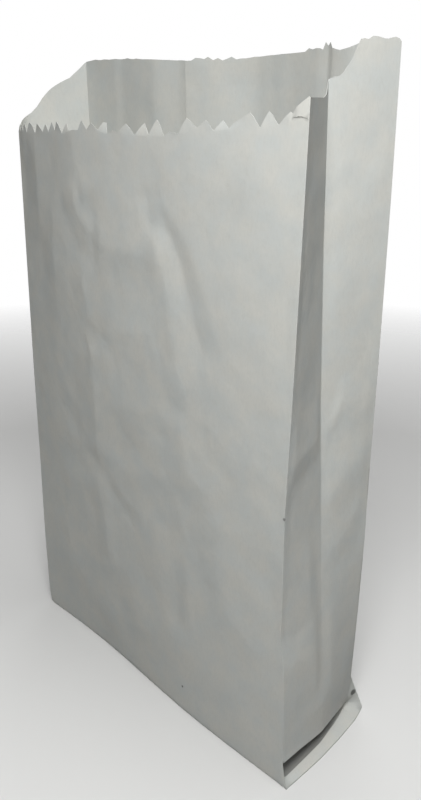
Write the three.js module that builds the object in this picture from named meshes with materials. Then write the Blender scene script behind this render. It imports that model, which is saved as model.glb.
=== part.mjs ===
// A paper bag for takeaway food: one folded and glued sheet, open and standing empty.
// It has a wide front and back, a gusset folded into each side, and an edge cut with teeth
// that is low across the front and high across the back.
//
// Millimetres, +Z up, the front panel faces -Y. The bag stands on Z = 0 and the origin is the
// middle of its footprint. The outlines below are written in the bag's own measures, with X = 0
// in the middle of the front panel; the last step moves the finished shell onto the origin.

import * as THREE from 'three';

// ---------------------------------------------------------------- driving dimensions

const WALL = 1.5;                 // thickness of the shell
const TEETH = 24;                 // teeth cut across the front panel, and across the back
const TOOTH_HEIGHT = 6.5;         // from a notch to a point on the front edge
const BACK_SCALLOP = 1.6;         // the same cut on the back edge is worn down to shallow scallops
const FOOT_HEIGHTS = [4, 7, 11];  // the front and back have extra rings of facets at these heights
const TUCK_DEPTH = 3.2;           // how far the paper under the gusset's lip runs back in, at the flange
const TUCK_ROOF_DEPTH = 2.4;      // and just below the lip
const TUCK_ROOF_DROP = 2;         // how far below the lip that is
const TUCK_CLOSED_HEIGHT = 5.6;   // the flange climbs to this height where the tuck closes
const TUCK_SLACK = 0.3;           // the least gap between the tucked paper and the paper under it
const TUCK_FULL_FROM = 0.08;      // share of the side, from the front corner, where it is fully open
const TUCK_CLOSING_SPEED = 1.6;   // behind that it closes over the last 1 / 1.6 of what is left
const FLANGE_THICKNESS = 1.6;     // the flat fold that lies on the floor along each side
const FLAP_HEIGHT = 24;           // the bottom flap is glued this far up the back
const WALL_ROWS = 9;              // rows of facets between the flap and the cut edge
const GUSSET_STEPS = 8;           // facets across half a gusset
const EAR_STEPS = 2;              // facets across the narrow corner behind each gusset
const RIM_MARGIN = 3;             // the last full row of facets lies this far under the notches

// Each fold runs up the bag as a line of [height, x, y].
const FRONT_LEFT_FOLD = [
  [0, -113.6, -29.3], [60, -114, -29.2], [120, -114, -28], [180, -114, -27.2], [234, -114.2, -26],
  [340, -114.8, -23.3],
];
const FRONT_LEFT_BEND = [[0, -48, -29.6], [100, -47, -32.5], [200, -46, -35], [340, -46, -36.2]];
const FRONT_RIGHT_BEND = [[0, 42, -35.6], [100, 42, -37.5], [200, 42, -38], [340, 42, -37]];
const FRONT_RIGHT_FOLD = [
  [0, 119.2, -36], [15, 116, -35.6], [36, 115, -35], [70, 113.4, -34.8], [88, 110.6, -34.6],
  [156, 109.9, -34.4], [216, 111.6, -34.2], [303, 113.6, -34], [345, 114.5, -34],
];
const RIGHT_CENTRE_FOLD = [
  [0, 114.6, 0], [31, 114.6, 0], [78, 110.4, 0], [108, 108.3, 0], [152, 105.4, 0], [205, 102, 0],
  [276, 99, 0], [350, 97.1, 0],
];
const BACK_RIGHT_FOLD = [
  [0, 108.2, 32.8], [24, 110, 33], [77, 111.3, 33], [120, 111.9, 33], [150, 111.6, 33],
  [216, 111.9, 33], [300, 111.6, 33], [370, 110.8, 32.8],
];
const BACK_RIGHT_BEND = [[0, 40, 43.5], [24, 40, 35.6], [180, 40, 36.4], [370, 40, 36]];
const BACK_LEFT_BEND = [[0, -40, 43.2], [24, -40, 35], [180, -40, 36], [370, -40, 35.4]];
const BACK_LEFT_FOLD = [[0, -110.5, 31.4], [24, -112.4, 32.5], [150, -114.6, 30.9], [370, -116, 29.8]];
// The left gusset is pushed outwards; this line runs along the crest of its bulge.
const LEFT_BULGE = [
  [0, -117, -8], [30, -118.5, -8], [120, -123.5, -10], [220, -128, -10], [350, -133, -5],
];

// The outer corners of the flared back, from the floor to the top of the glued flap and upwards.
const RIGHT_EAR = [[0, 113.3, 43.3], [24, 108.2, 36], [216, 109.6, 36], [370, 108.6, 35.8]];
const LEFT_EAR = [[0, -116.2, 42.4], [24, -109.8, 34.2], [150, -109.8, 31.2], [370, -110.2, 30.2]];

// Each gusset ends in a soft lip over the tuck, as [share of the side from front to back, height].
const GUSSET_LIP = [[0, 15], [0.2, 14], [0.44, 11.6], [0.7, 10.4], [0.89, 9.2]];

// Outer edge of the flange on the floor, front to back, as [x, y].
const RIGHT_FLANGE = [[119.2, -36], [119.5, -10], [118.6, 9], [117.5, 21], [116, 33], [113.3, 43.3]];
const LEFT_FLANGE = [[-113.6, -29.3], [-119, -12], [-120.4, 8], [-119.6, 26], [-116.2, 42.4]];

// Height of the cut edge: across the panels as [share of the width, height of the notches],
// and across each gusset as [share of the gusset from front to back, height].
const FRONT_CUT = [[0, 330], [0.15, 328.6], [0.55, 326], [0.72, 326.4], [0.94, 329], [1, 333]];
const BACK_CUT = [[0, 364], [0.3, 363.8], [0.47, 365], [0.7, 368.5], [1, 371.5]];
const RIGHT_GUSSET_CUT = [
  [0, 338.5], [0.2, 341], [0.4, 343.6], [0.5, 348], [0.57, 349.8], [0.62, 353], [0.66, 358], [0.7, 364],
  [1, 366],
];
const LEFT_GUSSET_CUT = [
  [0, 331.2], [0.12, 332], [0.24, 334.8], [0.36, 338.9], [0.44, 341.6], [0.5, 345.2], [0.57, 351.2],
  [0.63, 355.2], [0.75, 360], [0.87, 364.6], [0.95, 368.6], [1, 370.8],
];

// ---------------------------------------------------------------- small helpers

// Reads a broken line given as [position, value, value, ...] at one position.
function along(line, position) {
  const last = line.length - 1;
  const upper = Math.min(last, Math.max(1, line.findIndex((point) => point[0] >= position)));
  const end = position > line[last][0] ? last : upper;
  const [from, to] = [line[end - 1], line[end]];
  const share = THREE.MathUtils.clamp((position - from[0]) / (to[0] - from[0]), 0, 1);
  return from.slice(1).map((value, index) => THREE.MathUtils.lerp(value, to[index + 1], share));
}

function foldAt(line, height) {
  const [x, y] = along(line, height);
  return new THREE.Vector2(x, y);
}

// ---------------------------------------------------------------- the section of the bag

// The section is walked once round the bag: front from left to right, right gusset from front to
// back, back from right to left, left gusset from back to front. Each stretch names the folds
// that its curve passes through at a given height.
const STRETCHES = [
  {
    steps: 2 * TEETH, cut: FRONT_CUT, from: 0, to: 1, tooth: TOOTH_HEIGHT,
    folds: [FRONT_LEFT_FOLD, FRONT_LEFT_BEND, FRONT_RIGHT_BEND, FRONT_RIGHT_FOLD],
  },
  {
    steps: GUSSET_STEPS, cut: RIGHT_GUSSET_CUT, from: 0, to: 0.5,
    folds: [FRONT_RIGHT_FOLD, RIGHT_CENTRE_FOLD],
  },
  {
    steps: GUSSET_STEPS, cut: RIGHT_GUSSET_CUT, from: 0.5, to: 1,
    folds: [RIGHT_CENTRE_FOLD, BACK_RIGHT_FOLD],
  },
  { steps: EAR_STEPS, height: BACK_CUT[0][1], ear: true, folds: [BACK_RIGHT_FOLD, RIGHT_EAR] },
  {
    steps: 2 * TEETH, cut: BACK_CUT, from: 0, to: 1, tooth: BACK_SCALLOP,
    folds: [RIGHT_EAR, BACK_RIGHT_BEND, BACK_LEFT_BEND, LEFT_EAR],
  },
  { steps: EAR_STEPS, height: LEFT_GUSSET_CUT.at(-1)[1], ear: true, folds: [LEFT_EAR, BACK_LEFT_FOLD] },
  {
    steps: 2 * GUSSET_STEPS, cut: LEFT_GUSSET_CUT, from: 1, to: 0,
    folds: [BACK_LEFT_FOLD, LEFT_BULGE, FRONT_LEFT_FOLD],
  },
];

// One column for each corner of the section, with its place on its stretch.
const COLUMNS = STRETCHES.flatMap((stretch) => (
  Array.from({ length: stretch.steps }, (_, index) => ({ stretch, index, share: index / stretch.steps }))
));

function sectionPoint(column, height) {
  const corners = column.stretch.folds.map((fold) => foldAt(fold, height));
  return new THREE.SplineCurve(corners).getPointAt(column.share);
}

// Height of the cut without its teeth.
function notchHeight({ stretch, share }) {
  if (stretch.cut) {
    return along(stretch.cut, THREE.MathUtils.lerp(stretch.from, stretch.to, share))[0];
  }
  return stretch.height;
}

function cutHeight(column) {
  const tooth = column.index % 2 === 1 && column.stretch.tooth ? column.stretch.tooth : 0;
  return notchHeight(column) + tooth;
}

// ---------------------------------------------------------------- the foot of each side

// How far each side column is along its flange: 0 at the front corner, 1 at the back corner.
const SIDE_STEPS = 2 * GUSSET_STEPS + EAR_STEPS;

function sidePlace(column) {
  const place = COLUMNS.indexOf(column);
  const rightStart = 2 * TEETH;
  const leftStart = 4 * TEETH + SIDE_STEPS;
  if (place >= rightStart && place < rightStart + SIDE_STEPS) {
    return { flange: RIGHT_FLANGE, inward: -1, share: (place - rightStart) / SIDE_STEPS };
  }
  if (place >= leftStart) {
    return { flange: LEFT_FLANGE, inward: 1, share: 1 - (place - leftStart) / SIDE_STEPS };
  }
  return null;
}

function flangeEdge(flange, share) {
  return new THREE.SplineCurve(flange.map(([x, y]) => new THREE.Vector2(x, y))).getPointAt(share);
}

// The tuck opens just behind the front corner and closes where the gusset meets the back fold.
function tuckOpening(share) {
  const closedFrom = (2 * GUSSET_STEPS) / SIDE_STEPS;
  if (share < TUCK_FULL_FROM) {
    return share / TUCK_FULL_FROM;
  }
  const fade = (closedFrom - share) / (closedFrom - TUCK_FULL_FROM);
  return THREE.MathUtils.clamp(TUCK_CLOSING_SPEED * fade, 0, 1);
}

// The five lowest rings of the outside, from the floor up to the foot of the wall.
function footPoints(column) {
  const heights = [0, FLANGE_THICKNESS, ...FOOT_HEIGHTS];
  const side = sidePlace(column);
  if (!side) {
    return heights.map((height) => withHeight(sectionPoint(column, height), height));
  }
  const edge = flangeEdge(side.flange, side.share);
  if (column.stretch.ear) {
    const top = sectionPoint(column, FLAP_HEIGHT);
    return heights.map((height) => withHeight(edge.clone().lerp(top, height / FLAP_HEIGHT), height));
  }
  const opening = tuckOpening(side.share);
  const lip = along(GUSSET_LIP, side.share)[0];
  const foot = sectionPoint(column, lip);
  const tuckedIn = (depth) => (
    new THREE.Vector2(foot.x + side.inward * (TUCK_SLACK + depth * opening), foot.y)
  );
  const tuckFloor = THREE.MathUtils.lerp(TUCK_CLOSED_HEIGHT, FLANGE_THICKNESS + TUCK_SLACK, opening);
  return [
    withHeight(edge, 0),
    withHeight(edge, FLANGE_THICKNESS),
    withHeight(tuckedIn(TUCK_DEPTH), tuckFloor),
    withHeight(tuckedIn(TUCK_ROOF_DEPTH), lip - TUCK_ROOF_DROP),
    withHeight(foot, lip),
  ];
}

function withHeight(point, height) {
  return new THREE.Vector3(point.x, point.y, height);
}

// ---------------------------------------------------------------- rings of the shell

// Moves a ring of points inwards, square to its own outline, by the thickness of the wall.
function inset(ring, distance) {
  return ring.map((point, index) => {
    const before = ring[(index + ring.length - 1) % ring.length];
    const after = ring[(index + 1) % ring.length];
    const [first, second] = [[before, point], [point, after]].map(([from, to]) => (
      new THREE.Vector2(from.y - to.y, to.x - from.x).normalize()
    ));
    const middle = first.clone().add(second).normalize();
    const reach = distance / Math.max(0.5, middle.dot(first));
    return new THREE.Vector3(point.x + middle.x * reach, point.y + middle.y * reach, point.z);
  });
}

const footColumns = COLUMNS.map(footPoints);
const footRings = footColumns[0].map((_, row) => footColumns.map((points) => points[row]));

const wallShares = Array.from({ length: WALL_ROWS + 1 }, (_, row) => row / WALL_ROWS);
const wallRings = wallShares.map((share) => COLUMNS.map((column) => {
  const top = notchHeight(column) - RIM_MARGIN;
  const height = THREE.MathUtils.lerp(FLAP_HEIGHT, top, share);
  return withHeight(sectionPoint(column, height), height);
}));
const cutRing = COLUMNS.map((column) => {
  const height = cutHeight(column);
  return withHeight(sectionPoint(column, height), height);
});

const outerRings = [...footRings, ...wallRings, cutRing];

const moved = (ring, shift) => ring.map((point) => new THREE.Vector3(point.x, point.y, point.z + shift));
const flat = (ring, height) => ring.map((point) => new THREE.Vector3(point.x, point.y, height));
const [, , tuckFloorRing, tuckRoofRing, footRing] = footRings;
const innerRings = [
  flat(inset(tuckFloorRing, WALL), WALL),
  moved(inset(tuckRoofRing, WALL), WALL / 2),
  moved(inset(footRing, WALL), WALL),
  ...[...wallRings, cutRing].map((ring) => inset(ring, WALL)),
];

// ---------------------------------------------------------------- closing the shell

// The outside goes up, over the cut edge and down the inside; a cap closes the base on each face.
function shellGeometry() {
  const rings = [...outerRings, ...[...innerRings].reverse()];
  const size = COLUMNS.length;
  const positions = rings.flat().flatMap((point) => point.toArray());
  const faces = [];
  for (let ring = 0; ring + 1 < rings.length; ring += 1) {
    for (let column = 0; column < size; column += 1) {
      const next = (column + 1) % size;
      const [low, high] = [ring * size, (ring + 1) * size];
      faces.push([low + column, low + next, high + next], [low + column, high + next, high + column]);
    }
  }
  const underside = rings.length * size;
  const floorStart = (rings.length - 1) * size;
  positions.push(0, 0, 0, 0, 0, WALL);
  for (let column = 0; column < size; column += 1) {
    const next = (column + 1) % size;
    faces.push([underside, next, column], [underside + 1, floorStart + column, floorStart + next]);
  }
  const geometry = new THREE.BufferGeometry();
  geometry.setAttribute('position', new THREE.Float32BufferAttribute(positions, 3));
  geometry.setIndex(faces.flat());
  geometry.computeBoundingBox();
  const middle = geometry.boundingBox.getCenter(new THREE.Vector3());
  geometry.translate(-middle.x, -middle.y, 0);
  geometry.computeVertexNormals();
  return geometry;
}

const paper = new THREE.MeshStandardMaterial({
  name: 'paper',
  color: 0xc4c5be,
  roughness: 0.9,
  metalness: 0,
  side: THREE.DoubleSide,
});

const bag = new THREE.Mesh(shellGeometry(), paper);
bag.name = 'bag';

const paperBag = new THREE.Group();
paperBag.add(bag);

export default paperBag;
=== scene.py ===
"""A paper bag for takeaway food, open and standing empty: its paper, its creases and the studio.

The bag is one folded and glued sheet: a grid of columns round the bag and rows from the middle of
the base up to the cut edge, which then gets the thickness of the paper. Lengths are millimetres in
the bag's own measures, with X = 0 in the middle of the front panel, until the meshes are made in
metres in the shared frame. Heights are above the floor.
"""

import math

import bpy
import numpy as np
from mathutils import Matrix, Vector, noise


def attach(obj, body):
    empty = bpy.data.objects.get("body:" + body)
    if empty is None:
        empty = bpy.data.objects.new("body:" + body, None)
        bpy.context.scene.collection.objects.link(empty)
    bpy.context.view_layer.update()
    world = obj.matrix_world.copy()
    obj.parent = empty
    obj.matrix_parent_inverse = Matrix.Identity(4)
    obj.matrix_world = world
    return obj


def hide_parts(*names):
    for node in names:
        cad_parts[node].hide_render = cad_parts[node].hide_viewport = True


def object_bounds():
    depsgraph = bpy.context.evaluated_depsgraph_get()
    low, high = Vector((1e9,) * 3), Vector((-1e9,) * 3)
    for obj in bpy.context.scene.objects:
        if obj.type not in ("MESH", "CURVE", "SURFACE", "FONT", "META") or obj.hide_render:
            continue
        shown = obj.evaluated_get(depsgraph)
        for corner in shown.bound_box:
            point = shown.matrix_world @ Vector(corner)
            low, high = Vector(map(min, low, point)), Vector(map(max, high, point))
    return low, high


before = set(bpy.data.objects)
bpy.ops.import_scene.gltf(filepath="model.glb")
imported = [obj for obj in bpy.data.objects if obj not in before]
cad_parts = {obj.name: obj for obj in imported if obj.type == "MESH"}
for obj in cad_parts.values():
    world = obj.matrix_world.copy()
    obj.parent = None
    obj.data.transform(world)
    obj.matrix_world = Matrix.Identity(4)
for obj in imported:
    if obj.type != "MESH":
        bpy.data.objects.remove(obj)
cad_low, cad_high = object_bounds()

MM = 0.001

# ---------- sizes of the bag

PAPER = 0.16  # thickness of the sheet
SEAM_PLY = 0.3  # the glued seam stands out by this much
FLAP_HEIGHT = 24.0  # the bottom flap is glued this far up the back
WALL_ROWS = 122  # rows of faces between the flap and the cut edge
FRONT_COLUMN_STEP = 1.6  # about the width of a face across each panel
BACK_COLUMN_STEP = 2.8
SIDE_COLUMN_STEP = 2.0
EAR_COLUMN_STEP = 1.6

# Each fold runs up the bag as a line of (height, x, y).
FRONT_LEFT_FOLD = [(0, -113.6, -29.3), (60, -114, -29.2), (120, -114, -28), (180, -114, -27.2),
                   (234, -114.2, -26), (340, -114.8, -23.3)]
FRONT_LEFT_BEND = [(0, -48, -29.6), (50, -47, -31.8), (100, -47, -33), (200, -46, -34.6),
                   (340, -46, -35.4)]
FRONT_RIGHT_BEND = [(0, 42, -35.6), (60, 42, -35.4), (120, 42, -36), (200, 42, -37.4),
                    (340, 42, -37.6)]
FRONT_RIGHT_FOLD = [(0, 119.2, -36), (15, 116, -35.6), (36, 115, -35), (70, 113.4, -34.8),
                    (88, 110.6, -34.6), (156, 109.9, -34.4), (216, 111.6, -34.2),
                    (303, 113.6, -34), (345, 114.5, -34)]
RIGHT_CENTRE_FOLD = [(0, 114.6, 0), (31, 114.6, 0), (78, 110.4, 0), (108, 108.3, 0), (152, 105.4, 0),
                     (205, 102, 0), (276, 99, 0), (350, 97.1, 0)]
BACK_RIGHT_FOLD = [(0, 108.2, 32.8), (24, 110, 33), (77, 111.3, 33), (120, 111.9, 33),
                   (150, 111.6, 33), (216, 111.9, 33), (300, 111.6, 33), (370, 110.8, 32.8)]
BACK_RIGHT_BEND = [(0, 40, 43.5), (24, 40, 35.6), (180, 40, 36.4), (370, 40, 36)]
BACK_LEFT_BEND = [(0, -40, 43.2), (24, -40, 35), (180, -40, 36), (370, -40, 35.4)]
BACK_LEFT_FOLD = [(0, -110.5, 31.4), (24, -112.4, 32.5), (150, -114.6, 30.9), (370, -116, 29.8)]
LEFT_BULGE = [(0, -117, -8), (30, -118.5, -8), (120, -123.5, -10), (220, -128, -10),
              (350, -133, -5)]
RIGHT_EAR = [(0, 113.3, 43.3), (24, 108.2, 36), (216, 109.6, 36), (370, 108.6, 35.8)]
LEFT_EAR = [(0, -116.2, 42.4), (24, -109.8, 34.2), (150, -109.8, 31.2), (370, -110.2, 30.2)]

# The panels in the order in which they go round the bag: the folds that each one passes through,
# and its width. Places across a panel are measured from its first fold.
FRONT, GUSSET_FRONT, GUSSET_REAR, EAR_RIGHT, BACK, EAR_LEFT, GUSSET_LEFT = range(7)
FRONT_WIDTH = 230.0
PANELS = [
    ([FRONT_LEFT_FOLD, FRONT_LEFT_BEND, FRONT_RIGHT_BEND, FRONT_RIGHT_FOLD], FRONT_WIDTH),
    ([FRONT_RIGHT_FOLD, RIGHT_CENTRE_FOLD], 37.0),
    ([RIGHT_CENTRE_FOLD, BACK_RIGHT_FOLD], 36.0),
    ([BACK_RIGHT_FOLD, RIGHT_EAR], 3.8),
    ([RIGHT_EAR, BACK_RIGHT_BEND, BACK_LEFT_BEND, LEFT_EAR], 222.0),
    ([LEFT_EAR, BACK_LEFT_FOLD], 4.2),
    ([BACK_LEFT_FOLD, LEFT_BULGE, FRONT_LEFT_FOLD], 66.0),
]

# Outer edge of the flange that lies on the floor along each side, front to back, as (x, y).
RIGHT_FLANGE = [(119.2, -36), (119.5, -10), (118.6, 9), (117.5, 21), (116, 33), (113.3, 43.3)]
LEFT_FLANGE = [(-113.6, -29.3), (-119, -12), (-120.4, 8), (-119.6, 26), (-116.2, 42.4)]
FLANGE_EDGE = 0.75  # the folded plies at the outer edge of the flange
FLANGE_RISE = 2.4  # the flange rises by this much from its edge to the tuck
TUCK_DEPTH = 16.0  # the paper runs this far back in between the flange and the gusset's lip
TUCK_CLOSED_HEIGHT = 5.6  # the flange climbs to this height where the tuck closes
TUCK_DROP = 2.0  # behind its inner edge the flange's paper drops by this
TUCK_SLACK = 0.3  # the tuck's paper keeps this clear of the paper next to it
# The tuck's rows, from the flange's inner edge, down and back along the roof to the lip, as (how
# far in from the rim, and what share of the tuck's depth is added to that).
TUCK_PATH = [(0.2, 0.0), (0.9, 0.0), (1.5, 0.8), (1.3, 1.0), (0.5, 0.1)]
TUCK_ROOF = 0.65  # the roof's height at its deepest, as a share of the way from the floor to the lip
PLY_GAP = 0.4  # and it hangs this much below that
LIP_ROUND = 0.7  # the lip turns from this far below its own height
LIP_RISE = 0.5  # to this far above it
LIP_BULGE = 0.15  # and stands out by this
LIP_BLEND = 0.28  # the next row lies this share of the way from the lip to the top of the flap
FLANGE_ROUND = 0.1  # the flange's outer edge is rounded by this
# The tuck opens and closes over these shares of the side, counted from the front corner.
TUCK_FULL_FROM = 0.05
TUCK_FULL_TO = 0.7
TUCK_CLOSED_FROM = 0.96
GUSSET_LIP = [(0, 15), (0.2, 14), (0.44, 11.6), (0.7, 10.4), (0.89, 9.2), (1, 8)]  # (share, height)

# ---------- the cut edge

# The front's edge as (place from the left fold, height): the notches between the teeth and the
# tips of the teeth. Two notches in a row are a stretch where the tooth is worn away, and two tips
# in a row are a blunt tooth.
FRONT_NOTCHES = [(0, 329.6), (3.6, 329.6), (8.3, 329.4), (14.4, 328.8), (28.2, 328), (38.9, 328.6),
                 (46.5, 328.6), (54.4, 329.1), (63.4, 327.6), (71.5, 328.7), (80.6, 328.9),
                 (88.6, 329), (98.7, 328.6), (106.5, 327), (116, 327.5), (128.4, 326),
                 (138.8, 325.9), (149.7, 325.4), (159.3, 326.1), (171.2, 328.4), (181, 327.2),
                 (189.6, 327.9), (206.4, 327.7), (215.7, 328.8)]
FRONT_TIPS = [(1.8, 333.8), (5.9, 334.4), (11.3, 334.4), (17.2, 334.6), (21.4, 333.6), (32.4, 333.6),
              (42.2, 333.4), (50.8, 334), (58.2, 334.1), (66.6, 333), (76.4, 329.6), (84.6, 334),
              (93.2, 332.6), (102.2, 332.7), (104.8, 332.4), (111, 328.6), (121.6, 331.6),
              (134.6, 331.6), (143.8, 333), (152.7, 327.4), (156.4, 327.3), (164.4, 333.1),
              (176.4, 331.9), (185.6, 331.6), (193.4, 331), (200.9, 334.3), (210.3, 334.6),
              (221.3, 334)]
FRONT_CORNER = [(222.5, 333.2), (223.9, 335.6), (229.4, 339.2), (230, 339)]
# How far the tips of the teeth at these places lean out; a minus leans in.
LEANING_TEETH = {102.2: -1.8, 104.8: -1.8, 134.6: -1.5, 143.8: -0.9, 185.6: -1.4, 66.6: -1.6,
                 121.6: -0.5}
TOOTH_HEIGHT = 6.5  # of a whole tooth, above its notches
TOOTH_ROUNDING = 0.45  # 0 is a plain zigzag, 1 a row of domes
TEAR = [(221.9, 331.7), (224.6, 332), (226.6, 332.2), (229.4, 331.1), (230, 331)]
TEAR_MIDDLE = 227.3  # one more column stands here
TEAR_LIFT = [(221.9, 0), (224.8, 0.6), (229.4, 0.1), (230, 0)]  # how far the torn corner stands out

# Height of the cut edge across the other panels, as (place across the panel, height).
GUSSET_FRONT_CUT = [(0, 338.9), (14, 339.6), (28, 340.4), (32.8, 342), (34.7, 344.6), (37, 348.2)]
GUSSET_REAR_CUT = [(0, 348.2), (2.4, 349.1), (5.8, 349.7), (7.6, 351.4), (9, 353.7), (10.8, 355.8),
                   (12.4, 358.5), (13.5, 362.6), (14.8, 364.1), (16, 364.9), (18.6, 364.2), (21.5, 366),
                   (25.1, 365.5), (28.2, 364.8), (32.2, 366), (34.6, 365.8), (36, 364.2)]
EAR_RIGHT_CUT = [(0, 364.2), (3.8, 363.8)]
BACK_CUT = [(0, 363.8), (6, 365), (13, 365.2), (21, 366.6), (28, 364.9), (35, 364.2), (39.6, 365.8),
            (41.2, 368.4), (42.9, 367), (44.6, 368.7), (46.4, 365.6), (50, 367), (53.5, 366.2),
            (56, 367.6), (59, 365.8), (66, 366), (78, 366.3), (90, 366.3), (100, 366.1), (107, 365.5),
            (115, 365.1), (128, 366), (136, 366.6), (168, 369.5), (197, 371.6), (222, 372.6)]
# Worn teeth that still stand up from the back's edge, as (place, height).
BACK_BUMPS = [(110.4, 2.2), (118.1, 1.8), (124.5, 1.9), (130.4, 2.1), (178.6, 0.4), (187, 0.6)]
BACK_BUMP_WIDTH = 2.2  # half of a bump's width
BACK_TEETH = [39.6, 41.2, 42.9, 44.6, 46.4]  # places of the two whole teeth and of their notches
BACK_TEETH_PITCH = 9.5
BACK_SCALLOPS_FROM = (44, 60)  # the worn scallops grow over these places
SCALLOP_HEIGHT = 0.25  # on average; it goes up and down slowly between nothing and twice this
SCALLOP_DRIFT = 17.0  # how slowly, in millimetres for each radian
EAR_LEFT_CUT = [(0, 372.6), (4.2, 372.2)]
GUSSET_LEFT_CUT = [(0, 372), (1, 371.4), (4, 368.6), (8.7, 364.6), (12.7, 362), (16.6, 360.1),
                   (20.5, 358), (24.5, 355.2), (28.6, 351.1), (32.9, 345.4), (37.2, 341.5),
                   (42.1, 338.9), (50.3, 334.6), (58, 331.6), (66, 330.6)]
LEFT_NICK = (10.4, 1.0, 1.2)  # place, half width and depth of the small nick in the left edge

# ---------- creases

# A crease follows path, a list of (place across the panel, height) that runs up or to the right.
# Its line stands out from the panel by rise, or lies behind it where rise is negative. Its two
# flanks, the one on the left or above and the one on the right or below, end at the widths given.
# A crease with sharp=1 has flat flanks with a clear edge at their ends; a higher value fades them.
# A width given as a pair changes from the start of the path to its end.
FRONT_CREASES = [
    # the turned-back left side
    dict(path=[(25, 262), (26, 297), (28, 334)], rise=0.8, widths=(24, 16)),
    dict(path=[(51, 212), (45, 222), (42, 234), (43, 264), (45, 284), (48, 305)], rise=0.6,
         widths=(18, 24), sharp=1.05),
    dict(path=[(27, 112), (55, 120), (77, 125)], rise=0.3, widths=(14, 16)),
    dict(path=[(14, 150), (40, 150), (60, 145), (76, 141)], rise=0.25, widths=(16, 14)),
    dict(path=[(30, 36), (36, 66), (33, 92)], rise=0.4, widths=(22, 20)),
    # the long bend down the left third, with the two crescent dents on it
    dict(path=[(85, 293), (80, 304), (76, 312), (74, 320), (70, 335)], rise=0.65, widths=(26, 16),
         sharp=1.05, ends=0.15),
    dict(path=[(93, 273.5), (82, 281), (75.3, 286.3), (72.2, 293.5), (73.8, 301.5), (72.5, 308)],
         rise=0.62, widths=(15, (9, 4)), sharp=1),
    dict(path=[(77, 222), (79, 240), (76, 250), (79, 267)], rise=0.6, widths=(16, 20)),
    dict(path=[(79, 138), (81, 161), (82, 182), (82, 196), (81, 205), (77.5, 217)], rise=1.2,
         widths=(24, 24), sharp=1.05, ends=0.16),
    dict(path=[(85, 202), (80.5, 209), (78, 215), (76, 220)], rise=0.3, widths=(4, 7), sharp=1),
    dict(path=[(88, 60), (85, 72), (83.5, 84), (84.5, 96), (82.5, 108), (79.5, 118), (77.5, 134)],
         rise=0.65, widths=(13, 12), sharp=1.05, ends=0.14),
    dict(path=[(122, 108), (106, 115), (96, 121.5), (85, 129)], rise=-0.4, widths=(9, 8), sharp=1),
    dict(path=[(76, 20), (77, 44), (80, 74)], rise=0.5, widths=(20, 22)),
    # the flat roll and the deep diagonal groove below it
    dict(path=[(88, 273), (114, 271), (138, 269), (150, 266)], rise=0.8, widths=(17, 15), sharp=1.1,
         ends=0.15),
    dict(path=[(176.5, 214), (174.7, 223), (172.5, 231), (169, 240.4), (165.5, 252),
               (161.3, 263.5), (157.8, 272), (153, 280), (148, 287), (141, 293.5)], rise=-0.95,
         widths=((16, 11), (15, 6)), sharp=1, ends=0.18),
    dict(path=[(165, 195), (162, 203), (157, 215), (152.5, 230), (150.3, 242), (149, 255),
               (147.6, 265), (143, 274), (137, 281)], rise=0.55, widths=(12, (15, 11)), sharp=1,
         ends=0.12),
    dict(path=[(139, 279), (136.5, 291), (134, 304)], rise=-0.5, widths=(7, 12), sharp=1),
    dict(path=[(160, 200), (165, 196), (170, 193.5), (177, 193), (186, 192)], rise=0.25,
         widths=(9, 7), sharp=1),
    # the front's upper right corner, below the torn paper
    dict(path=[(196, 292), (204, 314), (210, 331)], rise=0.5, widths=(20, 24), ends=0.45),
    # rolls across the middle
    dict(path=[(89, 223), (120, 228), (152, 231)], rise=0.5, widths=(22, 15), sharp=1.1),
    dict(path=[(90, 179), (122, 184), (152, 189)], rise=0.45, widths=(22, 14)),
    dict(path=[(84, 134), (119, 145), (153, 154)], rise=0.4, widths=(14, 11), sharp=1.1),
    # the stepped line that runs down to the lower right
    dict(path=[(190, 146), (184, 151), (174, 155), (163, 163), (160, 178), (158, 196)], rise=0.9,
         widths=(18, 18), sharp=1.05, ends=0.2),
    dict(path=[(183, 90), (186, 117), (186, 136), (184, 154)], rise=0.6, widths=(18, 20), sharp=1.05),
    dict(path=[(182, 99), (192, 87), (205, 78), (224, 68)], rise=0.45, widths=(18, 14), sharp=1.05),
    # low on the panel
    dict(path=[(150, 52), (151, 77), (153, 108)], rise=-0.5, widths=(13, 9), sharp=1),
    dict(path=[(110, 24), (106, 60), (104, 84)], rise=0.3, widths=(20, 22)),
]
GUSSET_FRONT_CREASES = [
    dict(path=[(0, 183), (18, 185), (37, 187)], rise=0.9, widths=(30, 12), sharp=1, ends=0.02),
    dict(path=[(31, 36), (26.5, 76), (25, 101), (22, 150)], rise=0.9, widths=(22, 10), sharp=1.05),
    dict(path=[(6, 128), (5, 150), (4, 170)], rise=-0.3, widths=(5, 9), sharp=1),
    dict(path=[(2, 230), (6, 262), (4, 300)], rise=-0.25, widths=(5, 12)),
]
GUSSET_REAR_CREASES = [
    dict(path=[(7, 206), (8, 253), (8, 299), (4, 344)], rise=0.35, widths=(8, 20), sharp=1.05),
    dict(path=[(0.4, 185), (4, 189), (8, 194), (10, 201)], rise=0.4, widths=(6, 4.5), sharp=1,
         ends=0.1),
    dict(path=[(9, 202), (22, 200), (36, 198)], rise=0.5, widths=(16, 13), sharp=1, ends=0.1),
    dict(path=[(3, 149), (17, 165), (36, 171)], rise=0.6, widths=(17, 14), sharp=1.05, ends=0.12),
    dict(path=[(0, 113), (11, 124), (19, 130), (31, 143)], rise=0.35, widths=(14, 12), ends=0.12),
    dict(path=[(10, 24), (8.5, 60), (8.5, 96)], rise=0.45, widths=(8, 12), sharp=1.05),
]
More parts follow.
